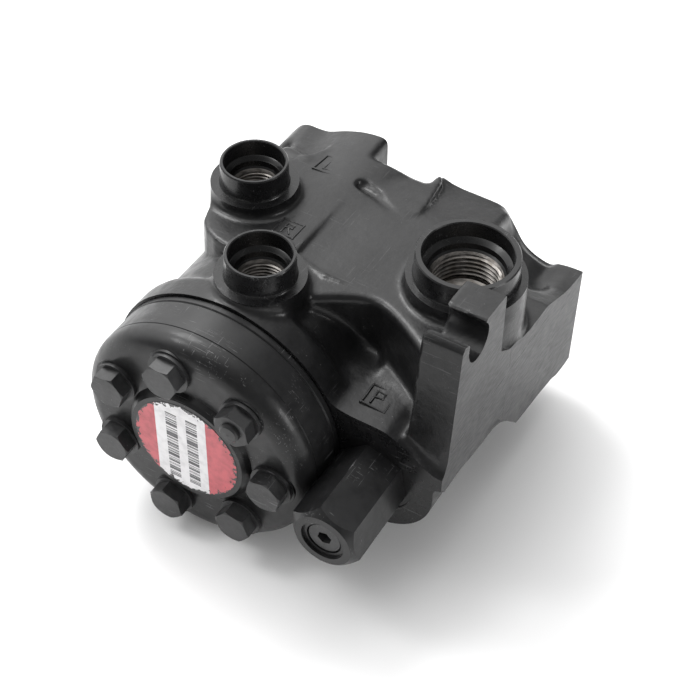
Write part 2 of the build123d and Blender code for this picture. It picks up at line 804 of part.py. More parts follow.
def coil_spring(radius, wire, turns, front, back):
    """A round-wire compression spring on the valve axis."""
    with BuildLine() as coil:
        Helix(
            pitch=(back - front) / turns,
            height=back - front,
            radius=radius,
            center=(valve_x, front, valve_z),
            direction=(0, 1, 0),
        )
    path = coil.line
    with BuildPart() as spring:
        with BuildSketch(Plane(origin=path @ 0, z_dir=path % 0)):
            Circle(wire)
        sweep(path=path, is_frenet=True)
    return spring.part


seat_front = cap_inner_end - 6
write(coil_spring(4.3, 0.7, 6, adjuster_back + 0.9, seat_front - 7.6), "relief_spring")
poppet_outline = [
    (0, seat_front - 6.7),
    (5.4, seat_front - 6.7),
    (5.4, seat_front - 4.6),
    (2.6, seat_front - 3.4),
    (2.6, seat_front - 0.6),
    (0.4, seat_front + 1.8),
    (0, seat_front + 1.8),
]
write(turned(poppet_outline, valve_x, valve_z), "relief_poppet")
write(tube(relief_bore, 2.2, seat_front + 0.6, cap_inner_end, valve_x, valve_z), "relief_seat")

valve_spool_front = -84.0
valve_spool_back = -19.9
write(coil_spring(6.6, 1.0, 5, cap_inner_end + 2.1, valve_spool_front + 4.6), "priority_spring")
land = valve_bore - 0.03
neck = 5.4
spring_cup = 7.8
priority_spool_outline = [
    (0, valve_spool_front),
    (land, valve_spool_front),
    (land, -66),
    (neck, -64.5),
    (neck, -52),
    (land, -50.5),
    (land, -40),
    (neck, -38.5),
    (neck, -32),
    (land, -30.5),
    (land, valve_spool_back - 1),
    (land - 1, valve_spool_back),
    (0, valve_spool_back),
]
spring_cup_outline = [
    (0, valve_spool_front - 1),
    (spring_cup, valve_spool_front - 1),
    (spring_cup, valve_spool_front + 6),
    (2, valve_spool_front + 8),
    (0, valve_spool_front + 8),
]
with BuildPart() as priority_spool:
    add(turned(priority_spool_outline, valve_x, valve_z))
    add(turned(spring_cup_outline, valve_x, valve_z), mode=Mode.SUBTRACT)
write(priority_spool.part, "priority_spool")

plug_radius = plug_bore - 0.04
plug_front = plug_seat + 0.4
plug_outline = [(0, plug_front), (plug_radius, plug_front), (plug_radius, -1), (plug_bore - 1, 0), (0, 0)]
with BuildPart() as rear_plug:
    add(turned(plug_outline, valve_x, valve_z))
    with BuildSketch(at(-7)):
        with Locations((valve_x, valve_z)):
            RegularPolygon(4, 6, major_radius=False)
    extrude(amount=-8, mode=Mode.SUBTRACT)
    add(tube(12, 9.7, -15.5, -13.5, valve_x, valve_z), mode=Mode.SUBTRACT)
write(rear_plug.part, "rear_plug")
write(o_ring(10.35, 1.25, -14.5, valve_x, valve_z), "rear_plug_o_ring")
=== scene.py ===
"""Looks of the hydrostatic steering unit: its casting, machined faces, threads and materials.

Everything is in metres in the CAD's frame: +Z up, the shaft axis along Y, the mounting face
at y = 0 and the gear set towards -Y. The casting is worked out as a distance field in
millimetres, turned into a mesh, and then machined with crisp cutters.
"""

import json
import math

import bmesh
import bpy
import numpy as np
import openvdb
from mathutils import Matrix, Vector


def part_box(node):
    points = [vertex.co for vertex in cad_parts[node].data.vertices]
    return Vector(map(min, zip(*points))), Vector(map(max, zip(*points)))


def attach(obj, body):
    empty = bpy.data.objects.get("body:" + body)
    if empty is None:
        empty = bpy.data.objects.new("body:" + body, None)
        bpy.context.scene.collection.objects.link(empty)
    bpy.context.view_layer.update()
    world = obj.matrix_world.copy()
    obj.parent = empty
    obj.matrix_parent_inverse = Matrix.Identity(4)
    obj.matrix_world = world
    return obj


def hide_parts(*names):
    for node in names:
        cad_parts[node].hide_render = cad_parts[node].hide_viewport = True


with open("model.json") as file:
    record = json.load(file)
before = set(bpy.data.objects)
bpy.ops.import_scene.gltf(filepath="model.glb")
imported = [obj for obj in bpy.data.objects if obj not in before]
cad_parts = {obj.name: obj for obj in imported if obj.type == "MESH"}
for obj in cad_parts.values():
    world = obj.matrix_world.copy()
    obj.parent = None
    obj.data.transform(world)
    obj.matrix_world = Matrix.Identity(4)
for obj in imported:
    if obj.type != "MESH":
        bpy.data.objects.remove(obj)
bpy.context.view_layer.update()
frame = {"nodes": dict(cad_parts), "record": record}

MM = 0.001

# ---------------------------------------------------------------- sizes, in millimetres
END_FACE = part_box("housing")[0][1] / MM
FLAT_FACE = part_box("housing")[1][0] / MM
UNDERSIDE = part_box("housing")[0][2] / MM
PORT_RIM = 61.0
FLANGE_TOP = 51.5
END_RING = 49.2
BARREL = 44.8
VALVE = (61.9, -4.5)
VALVE_BOSS = 24.5
SCREW_CIRCLE = 35.0
SCREW_ANGLES = [100.8 - 360 / 7 * k for k in range(7)]
MOUNT_CIRCLE = 82.5
MOUNT_OFFSET = MOUNT_CIRCLE / 2 * math.cos(math.radians(45))
SMALL_PORT = dict(collar=13.1, flange=16.8, mouth=11.5, seat=9.9, major=9.0, pitch=1.5)
LARGE_PORT = dict(collar=19.2, flange=22.0, mouth=16.6, seat=14.6, major=13.5, pitch=2.0)
LEFT_PORT = dict(SMALL_PORT, x=-25.9, y=-55.2, floor=37.0)
RIGHT_PORT = dict(SMALL_PORT, x=3.6, y=-97.3, floor=39.5)
PRESSURE_PORT = dict(LARGE_PORT, x=66.4, y=-59.2, floor=37.0)
PORTS = (LEFT_PORT, RIGHT_PORT, PRESSURE_PORT)
TANK = dict(y=-34.0, z=-18.0, boss=16.0, face=-44.5, floor=-28.5, major=11.0, pitch=1.5)
EXCESS = dict(x=61.9, y=-34.0, face=-28.4, floor=-15.0, major=9.0, pitch=1.5)
LUG_LEFT = 71.2
LUG_REAR = -75.6
THREAD_DEPTH = 0.6                 # of the pitch
FAR = 200.0                        # past the casting on every side


# ---------------------------------------------------------------- mesh helpers
def new_object(name, mesh):
    obj = bpy.data.objects.new(name, mesh)
    bpy.context.scene.collection.objects.link(obj)
    return obj


def mesh_from(name, verts, faces):
    """A mesh object from points in millimetres."""
    mesh = bpy.data.meshes.new(name)
    mesh.from_pydata([tuple(c * MM for c in v) for v in verts], [], faces)
    mesh.update()
    return new_object(name, mesh)


def smooth(obj, angle):
    """Smooth shading, with edges sharper than that many degrees kept sharp."""
    mesh = obj.data
    mesh.polygons.foreach_set("use_smooth", [True] * len(mesh.polygons))
    mesh.set_sharp_from_angle(angle=math.radians(angle))
    mesh.update()


def apply_modifiers(obj):
    depsgraph = bpy.context.evaluated_depsgraph_get()
    mesh = bpy.data.meshes.new_from_object(obj.evaluated_get(depsgraph))
    old = obj.data
    obj.modifiers.clear()
    obj.data = mesh
    bpy.data.meshes.remove(old)


def boolean(obj, tool, operation="DIFFERENCE"):
    """Cuts, joins or intersects with a closed tool mesh, and removes the tool."""
    mod = obj.modifiers.new("bool", "BOOLEAN")
    mod.operation = operation
    mod.solver = "MANIFOLD"
    mod.object = tool
    bpy.context.view_layer.update()
    apply_modifiers(obj)
    bpy.data.objects.remove(tool, do_unlink=True)


def lathe(name, profile, centre=(0, 0), axis="Y", segments=96):
    """A closed turned solid; profile is (radius, place along the axis), from axis to axis."""
    verts, faces = [], []
    rings = []
    for radius, along in profile:
        if radius < 1e-6:
            rings.append([len(verts)])
            verts.append(axis_point(0, 0, along, centre, axis))
            continue
        ring = []
        for k in range(segments):
            turn = 2 * math.pi * k / segments
            ring.append(len(verts))
            verts.append(axis_point(radius * math.cos(turn), radius * math.sin(turn), along, centre, axis))
        rings.append(ring)
    for a, b in zip(rings, rings[1:]):
        for k in range(segments):
            j = (k + 1) % segments
            if len(a) == 1 and len(b) == 1:
                continue
            if len(a) == 1:
                faces.append((a[0], b[k], b[j]))
            elif len(b) == 1:
                faces.append((a[k], b[0], a[j]))
            else:
                faces.append((a[k], b[k], b[j], a[j]))
    if len(rings[0]) > 1:
        for k in range(segments):
            j = (k + 1) % segments
            faces.append((rings[-1][k], rings[0][k], rings[0][j], rings[-1][j]))
    obj = mesh_from(name, verts, faces)
    outward(obj)
    return obj


def axis_point(u, v, along, centre, axis):
    """A point beside an axis; centre is the axis's place in the two directions left over."""
    if axis == "Y":
        return (centre[0] + u, along, centre[1] + v)
    if axis == "Z":
        return (centre[0] + u, centre[1] + v, along)
    return (along, centre[0] + u, centre[1] + v)


def outward(obj):
    """Turns every face of a closed mesh outwards."""
    mesh = bmesh.new()
    mesh.from_mesh(obj.data)
    bmesh.ops.recalc_face_normals(mesh, faces=mesh.faces)
    mesh.to_mesh(obj.data)
    mesh.free()


def big_box(name, low, high):
    """A box between two corners in millimetres."""
    outline = [(low[0], low[2]), (high[0], low[2]), (high[0], high[2]), (low[0], high[2])]
    verts = [(x, low[1], z) for x, z in outline] + [(x, high[1], z) for x, z in outline]
    faces = [(0, 1, 2, 3), (7, 6, 5, 4)]
    faces += [(k, k + 4, (k + 1) % 4 + 4, (k + 1) % 4) for k in range(4)]
    obj = mesh_from(name, verts, faces)
    outward(obj)
    return obj


# ---------------------------------------------------------------- distance fields
STEP = 0.85
LOW = np.array([-52.0, -120.0, -53.0])
HIGH = np.array([93.0, 4.0, 70.0])
COUNT = np.ceil((HIGH - LOW) / STEP).astype(int) + 1
GX = (LOW[0] + STEP * np.arange(COUNT[0], dtype=np.float32))[:, None, None]
GY = (LOW[1] + STEP * np.arange(COUNT[1], dtype=np.float32))[None, :, None]
GZ = (LOW[2] + STEP * np.arange(COUNT[2], dtype=np.float32))[None, None, :]


def join(a, b, blend=3.0):
    """Union of two fields with a fillet of about that size."""
    h = np.maximum(blend - np.abs(a - b), 0) / blend
    return np.minimum(a, b) - h * h * blend / 4


def meet(a, b, blend=1.5):
    h = np.maximum(blend - np.abs(a - b), 0) / blend
    return np.maximum(a, b) + h * h * blend / 4


def cut(a, b, blend=1.5):
    return meet(a, -b, blend)


def slab(coord, low, high):
    return np.maximum(low - coord, coord - high)


def rod_x(y, z, radius, low, high, edge=1.5):
    across = np.sqrt((GY - y) ** 2 + (GZ - z) ** 2) - radius
    return meet(across, slab(GX, low, high), edge)


def rod_y(x, z, radius, low, high, edge=1.5):
    across = np.sqrt((GX - x) ** 2 + (GZ - z) ** 2) - radius
    return meet(across, slab(GY, low, high), edge)


def rod_z(x, y, radius, low, high, edge=1.2, draft=0.0):
    """An upright round bar; radius is the one at the top, and draft widens it downwards."""
    across = np.sqrt((GX - x) ** 2 + (GY - y) ** 2) - radius - (high - GZ) * draft
    return meet(across, slab(GZ, low, high), edge)


def block(low, high, edge=2.0):
    parts = [slab(c, a, b) for c, a, b in zip((GX, GY, GZ), low, high)]
    return meet(meet(parts[0], parts[1], edge), parts[2], edge)


def polygon_field(a, b, outline):
    """Signed distance to a closed outline in the plane of two grid axes."""
    best = None
    inside = None
    n = len(outline)
    for k in range(n):
        (x0, y0), (x1, y1) = outline[k], outline[(k + 1) % n]
        ex, ey = x1 - x0, y1 - y0
        wx, wy = a - x0, b - y0
        t = np.clip((wx * ex + wy * ey) / (ex * ex + ey * ey), 0, 1)
        d = (wx - ex * t) ** 2 + (wy - ey * t) ** 2
        best = d if best is None else np.minimum(best, d)
        crosses = ((b >= y0) != (b >= y1)) & (wx * ey - ex * wy > 0 if ey > 0 else wx * ey - ex * wy < 0)
        inside = crosses if inside is None else inside ^ crosses
    return np.where(inside, -1.0, 1.0) * np.sqrt(best)


def rounded(points, passes=2):
    """A closed outline with its corners cut round, by Chaikin's rule."""
    for _ in range(passes):
        fresh = []
        for (x0, y0), (x1, y1) in zip(points, points[1:] + points[:1]):
            fresh.append((0.75 * x0 + 0.25 * x1, 0.75 * y0 + 0.25 * y1))
            fresh.append((0.25 * x0 + 0.75 * x1, 0.25 * y0 + 0.75 * y1))
        points = fresh
    return points


def along_x(outline, low, high, edge=1.5):
    return meet(polygon_field(GY, GZ, outline), slab(GX, low, high), edge)


def along_y(outline, low, high, edge=1.5):
    return meet(polygon_field(GX, GZ, outline), slab(GY, low, high), edge)


def capsule(start, end, radius):
    """A round-ended bar between two points."""
    run = [e - s for s, e in zip(start, end)]
    length = sum(c * c for c in run)
    off = [GX - start[0], GY - start[1], GZ - start[2]]
    t = np.clip((off[0] * run[0] + off[1] * run[1] + off[2] * run[2]) / length, 0, 1)
    gap = [o - c * t for o, c in zip(off, run)]
    return np.sqrt(gap[0] ** 2 + gap[1] ** 2 + gap[2] ** 2) - radius


def sand(cell, seed):
    """Smooth random unevenness with about one swell in each cell of that many millimetres."""
    counts = [int(math.ceil(n * STEP / cell)) + 2 for n in COUNT]
    values = np.random.default_rng(seed).standard_normal(counts).astype(np.float32)
    for axis, size in enumerate(COUNT):
        place = np.arange(size) * STEP / cell
        whole = place.astype(int)
        part = place - whole
        ease = (part * part * (3 - 2 * part)).astype(np.float32)
        ease = ease.reshape([size if k == axis else 1 for k in range(3)])
        values = np.take(values, whole, axis) * (1 - ease) + np.take(values, whole + 1, axis) * ease
    return values


# ---------------------------------------------------------------- the cast body
REAR_OUTLINE = [
    (-47, -22), (-52, 0), (-50, 18), (-45, 28), (-40, 35), (-36, 37.3), (-30, 37.0), (-25, 35.6),
    (-15, 38.4), (-7, 40.3), (-1, 39.6), (3, 37), (27, 33.8), (45, 33), (52, 31.9), (56.5, 29.3),
    (60, 24.4), (62.5, 20), (66.7, 15.6), (71.7, 13.2), (76.3, 12.0), (80.2, 15.2), (100, 15.7),
    (100, -31), (52, -31), (44, -52), (-34, -52),
]
DECK_PLAN = [
    (10, -101), (22, -93), (29, -88.2), (38, -83.4), (44, -83.2), (50, -85.2), (58, -89.6), (66, -94.6),
    (74, -101), (82, -98), (86, -76), (86, -50), (78, -40), (66, -34), (60, -24), (57, 8), (-34, 8),
    (-34, -20), (-38, -60), (-34, -74), (-20, -82), (-4, -98),
]
PAD_PLAN = [
    (6.0, -88), (6.1, -72), (5.3, -36), (6.3, -31.5), (9.4, -28.6), (14, -29.3), (24, -35.5), (31, -37),
    (34, -30), (26, 8), (-17, 8), (-18, -14), (-26, -30), (-38, -44), (-38, -66), (-30, -88),
]
COLUMN_SIDE = [
    (-113.8, 0), (-108.3, 65), (-106.6, 67.0), (-104.6, 66.0), (-94, 66.5), (-89, 67.0), (-76, 66.0),
    (-75.3, 38), (-60, 26), (-60, 0),
]
SKIRT_SIDE = [
    (-122, 3), (-76, 2), (-70, -1), (-58, -16), (-51, -23.4), (-29, -26.6), (-4.7, -31.5), (8, -31.5),
    (8, 13.5), (-4, 14.4), (-16, 18.4), (-34, 25.8), (-56.4, 27.2), (-62.7, 30), (-76, 30), (-110, 14),
]
HOLLOW_END = [(46, 60), (58, 26), (63, 19.5), (72, 13.0), (77, 12.2), (80.5, 15.5), (84, 60)]
WEB_END = [(20, 30), (36, 23.5), (50, 21.4), (66, 19.5), (74, 12), (70, -24), (54, -28), (24, -40)]
DIP_END = [(0.0, 70), (1.0, 24.5), (6, 20.8), (12, 17.4), (18.5, 17.4), (22, 20.5), (26, 29), (27, 70)]
CLAW_ROUTE = [(6.4, -28.6, 44.9), (12, -30, 45.3), (21.5, -35, 47.1)]
LUMP_ROUTE = [(-31, -23.5, 38.8), (-21.5, -26, 39.6)]
SEAM_ROUTE = [(8, -77.6, 44.9), (20.5, -81, 44.9), (27, -80.8, 44.9)]


def cast_field():
    """The raw casting, a little proud wherever it is machined afterwards."""
    barrel = rod_y(0, 0, BARREL, -130, 14)
    ring = rod_y(0, 0, END_RING, -130, -103.5, edge=5)
    body = join(barrel, ring, 5)
    foot = block((-34, -130, UNDERSIDE), (44, 14, -8), 4)
    body = join(body, foot, 8)
    rear = along_y(rounded(REAR_OUTLINE, 1), -13.5, 14, 4)
    body = join(body, rear, 5)

    # the deck between the ports falls away towards the mounting face; the pad stands a step above it
    channel = 1.1 * np.clip((30 - GX) / 25, 0, 1) ** 2
    deck_top = meet(GZ - 45.3 + channel, (GZ - 43.4 + (GY + 30) * 0.33) * 0.95, 4)
    lean = (GZ - 45) * 0.03
    deck = meet(polygon_field(GX, GY, rounded(DECK_PLAN, 2)) + lean, meet(deck_top, -GZ - 10, 2), 3.4)
    body = join(body, deck, 3.2)
    pad_top = meet(GZ - 46.9 + (GY + 78) * 0.048, (GZ - 46.0 + (GY + 30) * 0.232) * 0.974, 5)
    pad = meet(polygon_field(GX, GY, rounded(PAD_PLAN, 2)) + lean, meet(pad_top, -GZ, 2), 1.1)
    body = join(body, pad, 0.8)

    # right-hand block, the priority valve's boss and the web that ties them to the barrel
    skirt = meet(along_x(SKIRT_SIDE, 50, 110, 3), GX - 110, 1)
    skirt = cut(skirt, along_y(HOLLOW_END, -22, 20, 9), 6)
    valve = rod_y(VALVE[0], VALVE[1], VALVE_BOSS, -130, -4, edge=3)
    body = join(body, join(valve, skirt, 5), 5)
    body = join(body, along_y(WEB_END, -130, -60, 2), 3.6)

    # the lug beside the pressure port, and the three ports' bosses
    column = meet(along_x(COLUMN_SIDE, 72.4, 110, 1.6), (72.0 - GX) + (GZ - 14) * 0.035, 1.2)
    body = join(body, column, 3.2)
    for port, blend in ((LEFT_PORT, 3.4), (RIGHT_PORT, 3.4), (PRESSURE_PORT, 3.0)):
        boss = rod_z(port["x"], port["y"], port["flange"], -6, FLANGE_TOP + 4, 1.2, draft=0.012)
        body = join(body, boss, blend)

    # tank port's boss on the left
    body = join(body, rod_x(TANK["y"], TANK["z"], TANK["boss"], TANK["face"] - 1.5, -15), 4)

    # the cross drilling that broke out between the lug and the lip
    drilled = np.sqrt((GY + 95.8) ** 2 + (GZ - 60.2) ** 2) - 7.2
    drilled = join(drilled, meet(slab(GY, -103.2, -95.5), 60 - GZ, 1), 2)
    drilled = meet(drilled, 70.5 - GX, 1)
    body = cut(body, drilled, 1.2)
    notch = meet(slab(GX, 60, 72.0), slab(GY, -110, -104), 1)
    body = cut(body, meet(meet(GZ - 75, 30 - GZ, 1), notch, 1), 2)

    # rear of the deck: the dip over the shaft, the hollow where the pad's step ends, and the lump
    # behind the left port; then the faint seam in front of the right port
    ramp = meet((15.5 - GY * 2.4 - GZ) * 0.385, slab(GX, 1.0, 25.0), 3)
    body = cut(body, meet(along_y(DIP_END, -40, 20, 1), ramp, 1.5), 3.2)
    near, far = [capsule(a, b, r) for a, b, r in zip(CLAW_ROUTE, CLAW_ROUTE[1:], (3.0, 2.8))]
    body = cut(body, join(near, far, 1.5), 1.2)
    body = join(body, capsule(*LUMP_ROUTE, 3.5), 2.2)
    for start, end in zip(SEAM_ROUTE, SEAM_ROUTE[1:]):
        body = join(body, capsule(start, end, 0.6), 1.2)
    waves, grains = sand(cell=8.0, seed=11), sand(cell=2.6, seed=12)
    return body + 0.03 * waves + 0.02 * grains


def field_mesh(name, field):
    """The zero surface of a field as a mesh."""
    grid = openvdb.FloatGrid(background=float(3 * STEP))
    grid.copyFromArray(np.ascontiguousarray(np.clip(field, -3 * STEP, 3 * STEP), dtype=np.float32))
    points, triangles, quads = grid.convertToPolygons(isovalue=0.0, adaptivity=0.0)
    verts = (points * STEP + LOW) * MM
    faces = quads[:, ::-1]
    mesh = bpy.data.meshes.new(name)
    mesh.from_pydata(verts.tolist(), [], faces.tolist() + triangles[:, ::-1].tolist())
    mesh.update()
    obj = new_object(name, mesh)
    outward(obj)
    return obj


def threaded(name, centre, axis, major, pitch, low, high, segments=72):
    """A closed tool for cutting a thread: its wall runs between the core and the major radius."""
    depth = THREAD_DEPTH * pitch
    rows = int((high - low) / (pitch / 8))
    verts, faces = [], []
    for i in range(rows + 1):
        along = low + (high - low) * i / rows
        for k in range(segments):
            turn = 2 * math.pi * k / segments
            phase = (along / pitch + k / segments) % 1
            tooth = min(1.0, max(0.0, 1.6 * abs(2 * phase - 1) - 0.3))
            radius = major - depth * tooth
            verts.append(axis_point(radius * math.cos(turn), radius * math.sin(turn), along, centre, axis))
    for i in range(rows):
        for k in range(segments):
            j = (k + 1) % segments
            here, above_it = i * segments, (i + 1) * segments
            faces.append((here + k, above_it + k, above_it + j, here + j))
    faces.append(tuple(range(segments)))
    faces.append(tuple(rows * segments + k for k in range(segments)))
    obj = mesh_from(name, verts, faces)
    outward(obj)
    return obj


def machine_port(body, port):
    """Faces the flange, adds the turned collar and cuts the mouth, the seat and the thread."""
    centre = (port["x"], port["y"])
    collar, mouth, seat, major = (port[key] for key in ("collar", "mouth", "seat", "major"))
    floor_z = port["floor"]
    core = major - THREAD_DEPTH * port["pitch"]
    reach = port["flange"] + 1.2
    face_profile = [(collar - 3, FLANGE_TOP), (reach, FLANGE_TOP), (reach, 80), (collar - 3, 80)]
    face = lathe("face", face_profile, centre, "Z")
    boolean(face, big_box("lug", (LUG_LEFT, -150, 40), (120, LUG_REAR, 90)))
    boolean(body, face)
    rim = [
        (0, 40), (collar, 40), (collar, FLANGE_TOP - 0.2), (collar + 0.5, FLANGE_TOP - 0.1),
        (collar + 0.12, FLANGE_TOP + 0.5), (collar, FLANGE_TOP + 1.2), (collar - 0.1, PORT_RIM - 0.5),
        (collar - 0.5, PORT_RIM), (0, PORT_RIM),
    ]
    boolean(body, lathe("rim", rim, centre, "Z", 128), "UNION")
    inside = [
        (0, PORT_RIM + 2), (mouth + 0.35, PORT_RIM + 2), (mouth + 0.35, PORT_RIM + 0.01),
        (mouth, PORT_RIM - 0.4), (mouth - 0.05, PORT_RIM - 6.6), (mouth - 0.5, PORT_RIM - 6.9),
        (seat + 0.35, PORT_RIM - 7.9), (seat, PORT_RIM - 8.2), (seat - 0.1, PORT_RIM - 10.6),
        (major + 0.2, PORT_RIM - 11.3), (core + 0.1, PORT_RIM - 12.6), (core - 0.1, floor_z + 0.4),
        (0, floor_z - core * 0.55),
    ]
    boolean(body, lathe("inside", inside, centre, "Z", 128))
    boolean(body, threaded("thread", centre, "Z", major, port["pitch"], floor_z + 1.5, PORT_RIM - 11.0))


def tapped_hole(body, centre, axis, major, pitch, mouth, bottom, outward_side):
    """A tapped hole with a countersunk mouth; mouth and bottom are places along the axis."""
    low, high = min(mouth, bottom), max(mouth, bottom)
    core = major - THREAD_DEPTH * pitch
    outline = [
        (0, mouth + outward_side * 2), (major + 1.2, mouth + outward_side * 2),
        (major + 0.2, mouth - outward_side * 1.2), (core, mouth - outward_side * 2.2),
        (core, bottom), (0, bottom - outward_side * core * 0.5),
    ]
    boolean(body, lathe("hole", outline, centre, axis, 72))
    at_mouth, at_bottom = 2.0, 1.5
    start = low + (at_mouth if outward_side < 0 else at_bottom)
    end = high - (at_bottom if outward_side < 0 else at_mouth)
    boolean(body, threaded("thread", centre, axis, major, pitch, start, end, 48))


MARK_HEIGHT = 0.4
FRAME_WIDTH = 0.95
STROKE_WIDTH = 0.85
MARK_STROKES = {
    "L": [((-0.3, 0.5), (-0.3, -0.5)), ((-0.3, -0.5), (0.32, -0.5))],
    "R": [((-0.3, 0.5), (-0.3, -0.5)), ((-0.3, 0.5), (0.25, 0.42)), ((0.25, 0.42), (0.25, 0.08)),
          ((0.25, 0.08), (-0.3, 0.0)), ((-0.05, 0.02), (0.32, -0.5))],
    "P": [((-0.3, 0.5), (-0.3, -0.5)), ((-0.3, 0.5), (0.25, 0.42)), ((0.25, 0.42), (0.25, 0.06)),
          ((0.25, 0.06), (-0.3, -0.02))],
}


def raised_bar(start, end, width):
    """A low bar with a rounded crown, lying in the plane z = 0."""
    ax, ay = start
    bx, by = end
    length = math.hypot(bx - ax, by - ay)
    ux, uy = (bx - ax) / length, (by - ay) / length
    half_width, root = width / 2, -1.6
    section = [
        (-half_width, root), (-half_width * 0.86, MARK_HEIGHT * 0.5), (-width * 0.22, MARK_HEIGHT),
        (width * 0.22, MARK_HEIGHT), (half_width * 0.86, MARK_HEIGHT * 0.5), (half_width, root),
    ]
    inset = width / 4
    stations = [(-half_width, 0.8), (-inset, 1.0), (length + inset, 1.0), (length + half_width, 0.8)]
    verts = []
    for along, taper in stations:
        for across, up in section:
            x = ax + ux * along - uy * across * taper
            y = ay + uy * along + ux * across * taper
            verts.append((x, y, up * taper if up > 0 else up))
    n = len(section)
    faces = [tuple(range(n)), tuple(range(4 * n - 1, 3 * n - 1, -1))]
    for ring in range(3):
        for k in range(n):
            j = (k + 1) % n
            faces.append((ring * n + k, ring * n + n + k, ring * n + n + j, ring * n + j))
    bar = mesh_from("bar", verts, faces)
    outward(bar)
    return bar


def port_mark(body, letter, place, slope, size):
    """A generic port letter in a square frame, cast on; slope tips it in degrees about X and then Y."""
    half = size / 2
    corners = [(-half, -half), (half, -half), (half, half), (-half, half)]
    strokes = [(a, b, FRAME_WIDTH) for a, b in zip(corners, corners[1:] + corners[:1])]
    scale = size * 0.62
    for (ax, ay), (bx, by) in MARK_STROKES[letter]:
        strokes.append(((ax * scale, ay * scale), (bx * scale, by * scale), STROKE_WIDTH))
    lie = Matrix.Translation(Vector(place) * MM) @ Matrix.Rotation(math.radians(slope[0]), 4, "X")
    lie = lie @ Matrix.Rotation(math.radians(slope[1]), 4, "Y")
    for start, end, width in strokes:
        bar = raised_bar(start, end, width)
        bar.data.transform(lie)
        boolean(body, bar, "UNION")


SPOOL_BORE = [
    (0, -117), (19.7, -117), (19.03, END_FACE + 0.7), (19.03, -20), (16.5, -20), (16.5, -12), (13.5, -12),
    (13.5, -8), (15.5, -8), (15.5, -0.5), (16.0, 1), (0, 1),
]
VALVE_BORE = [
    (0, -118), (16.6, -118), (16.6, END_FACE + 0.5), (12.6, END_FACE + 0.6), (12.5, -99), (9.0, -98.9),
    (9.0, -20), (11, -19.9), (11, -0.8), (11.8, 1), (0, 1),
]
COVER_SCREW_HOLE = [(0, -118), (4.1, -118), (4.1, END_FACE + 0.6), (3.9, END_FACE + 22), (0, END_FACE + 24)]
O_RING_GROOVE = [(41.7, -118), (44.3, -118), (44.3, END_FACE + 1.4), (41.7, END_FACE + 1.4)]
TANK_SPOT = [(0, TANK["face"] - 9), (14.4, TANK["face"] - 9), (14.4, TANK["face"]), (0, TANK["face"])]
EXCESS_SPOT = [(0, -60), (14, -60), (14, EXCESS["face"]), (0, EXCESS["face"])]


def side_port(body, name, spot, centre, axis, port):
    """A spot face and a tapped hole that opens towards the low end of the axis."""
    boolean(body, lathe(name, spot, centre, axis, 64))
    tapped_hole(body, centre, axis, port["major"], port["pitch"], port["face"], port["floor"], -1)


def machined_body():
    body = field_mesh("housing_casting", cast_field())
    boolean(body, big_box("front", (-FAR, -FAR, -FAR), (FAR, END_FACE, FAR)))
    boolean(body, big_box("back", (-FAR, 0, -FAR), (FAR, FAR, FAR)))
    boolean(body, big_box("side", (FLAT_FACE, -FAR, -FAR), (FAR, FAR, FAR)))
    for port in PORTS:
        machine_port(body, port)
    side_port(body, "tank_face", TANK_SPOT, (TANK["y"], TANK["z"]), "X", TANK)
    side_port(body, "spot", EXCESS_SPOT, (EXCESS["x"], EXCESS["y"]), "Z", EXCESS)
    boolean(body, lathe("bore", SPOOL_BORE))
    boolean(body, lathe("valve_bore", VALVE_BORE, VALVE))
    for sx, sz in ((1, 1), (-1, 1), (1, -1), (-1, -1)):
        tapped_hole(body, (sx * MOUNT_OFFSET, sz * MOUNT_OFFSET), "Y", 5.0, 1.5, 0, -16, 1)
    for angle in SCREW_ANGLES:
        turn = math.radians(angle)
        place = (SCREW_CIRCLE * math.cos(turn), SCREW_CIRCLE * math.sin(turn))
        boolean(body, lathe("tap", COVER_SCREW_HOLE, place, "Y", 32))
    port_mark(body, "L", (-10.0, -24.4, 43.3), (-8, 0), 11)
    port_mark(body, "R", (-3.6, -67.0, 46.3), (-3, 0), 8.5)
    port_mark(body, "P", (56.6, -103.6, 21.2), (0, 6), 9.5)
    boolean(body, lathe("o_ring_groove", O_RING_GROOVE))
    return body


housing = machined_body()
smooth(housing, angle=30)


